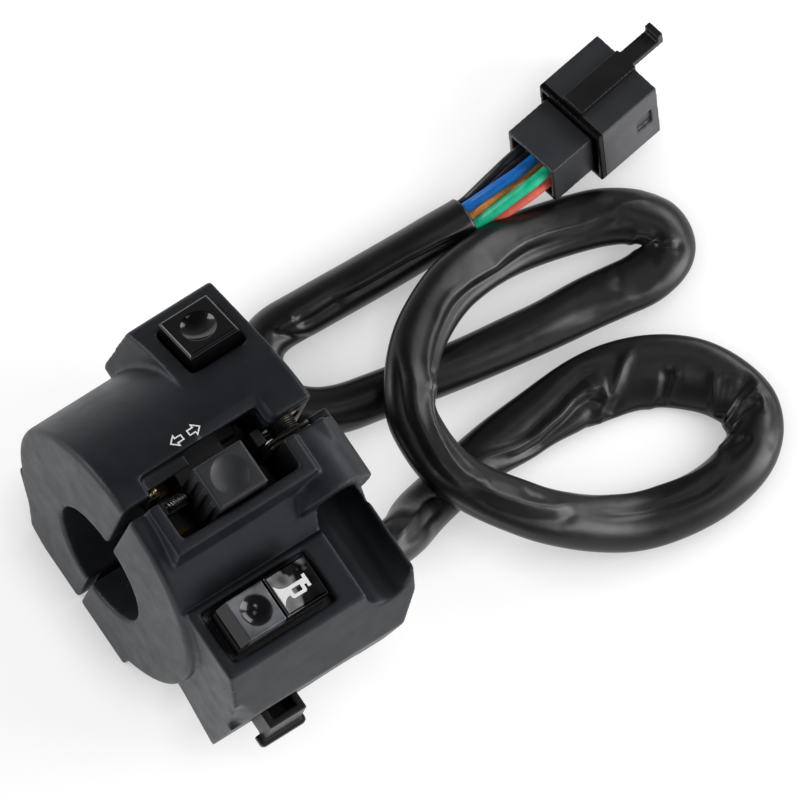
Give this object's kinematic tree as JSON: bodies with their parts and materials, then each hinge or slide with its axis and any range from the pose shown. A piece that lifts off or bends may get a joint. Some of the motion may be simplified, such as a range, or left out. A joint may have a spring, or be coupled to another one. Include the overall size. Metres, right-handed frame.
{
  "type": "handlebar switch cluster",
  "caption": "Left handlebar switch cluster with a dimmer push, turn-signal slider, horn button and flash trigger in a split bar clamp, with a sleeved harness and plug.",
  "frame": {"origin": "on the axis of the bar clamp, 20.5 mm from its grip end", "axes": "+X along the bar from the grip end inwards, +Y towards the top of the bike, +Z out of the side that faces the rider"},
  "size_m": [0.1345, 0.0791, 0.055],
  "materials": {
    "housing": "moulded glass-filled nylon, fine grain",
    "button": "polished black",
    "knob": "semi-gloss black",
    "carriage": "moulded grey nylon",
    "base": "moulded light grey nylon",
    "tile": "mirror-bright silver face with a white symbol",
    "brass": "turned brass",
    "steel": "zinc-plated steel",
    "spring": "bright spring wire",
    "copper": "copper-coloured strip",
    "switch_body": "moulded black",
    "grommet": "soft moulded rubber",
    "sleeve": "soft glossy black vinyl tube",
    "connector": "moulded black nylon",
    "thin_wire": "brown-red wire covering",
    "wire_black": "black wire covering",
    "wire_black_white": "black wire covering with a light trace",
    "wire_blue": "blue wire covering",
    "wire_orange": "orange wire covering",
    "wire_green": "green wire covering",
    "wire_red": "light red wire covering"
  },
  "bodies": {
    "switch_block": {"upper_housing": "housing", "lower_housing": "housing", "clamp_screws": "steel", "threaded_inserts": "brass", "turn_base": "base", "turn_contacts": "copper", "turn_base_screws": "steel", "turn_rivet": "brass", "dimmer_switch_body": "switch_body", "dimmer_spring": "spring", "dimmer_terminals": "brass", "horn_base": "base", "horn_spring": "spring", "horn_contacts": "copper", "pass_pivot_pin": "steel", "pass_spring": "spring", "pass_switch_body": "switch_body", "harness_grommet": "grommet", "harness_sleeve": "sleeve", "internal_wires": "thin_wire", "connector_housing": "connector", "connector_latch": "connector", "connector_terminals": "brass", "wire_black": "wire_black", "wire_black_white": "wire_black_white", "wire_blue": "wire_blue", "wire_orange": "wire_orange", "wire_green": "wire_green", "wire_red": "wire_red"},
    "turn_slider": {"turn_knob": "knob", "turn_carriage": "carriage", "turn_slide_plate": "carriage", "turn_side_spring": "spring", "turn_detent_ball": "steel", "turn_detent_spring": "spring"},
    "dimmer_button": {"dimmer_cap": "button"},
    "horn_button": {"horn_carrier": "carriage", "horn_pad": "button", "horn_symbol_tile": "tile"},
    "pass_lever": {"pass_trigger": "button"}
  },
  "joints": [
    {"name": "turn_slide", "type": "slide", "parent": "switch_block", "child": "turn_slider", "axis": [1, 0, 0], "range_m": [-0.0035, 0.0035]},
    {"name": "dimmer_push", "type": "slide", "parent": "switch_block", "child": "dimmer_button", "axis": [0, -0.4839, -0.8751], "range_m": [0, 0.0025], "stiffness_N_per_m": 400, "springref_m": -0.002},
    {"name": "horn_push", "type": "slide", "parent": "switch_block", "child": "horn_button", "axis": [0, 0, -1], "range_m": [0, 0.0024], "stiffness_N_per_m": 350, "springref_m": -0.002, "deforming": ["horn_spring"]},
    {"name": "pass_pull", "type": "hinge", "parent": "switch_block", "child": "pass_lever", "pos_m": [-0.0073, -0.026, -0.0066], "axis": [-1, 0, 0], "range_deg": [0, 8], "stiffness_Nm_per_rad": 0.03, "springref_deg": -11.46}
  ]
}
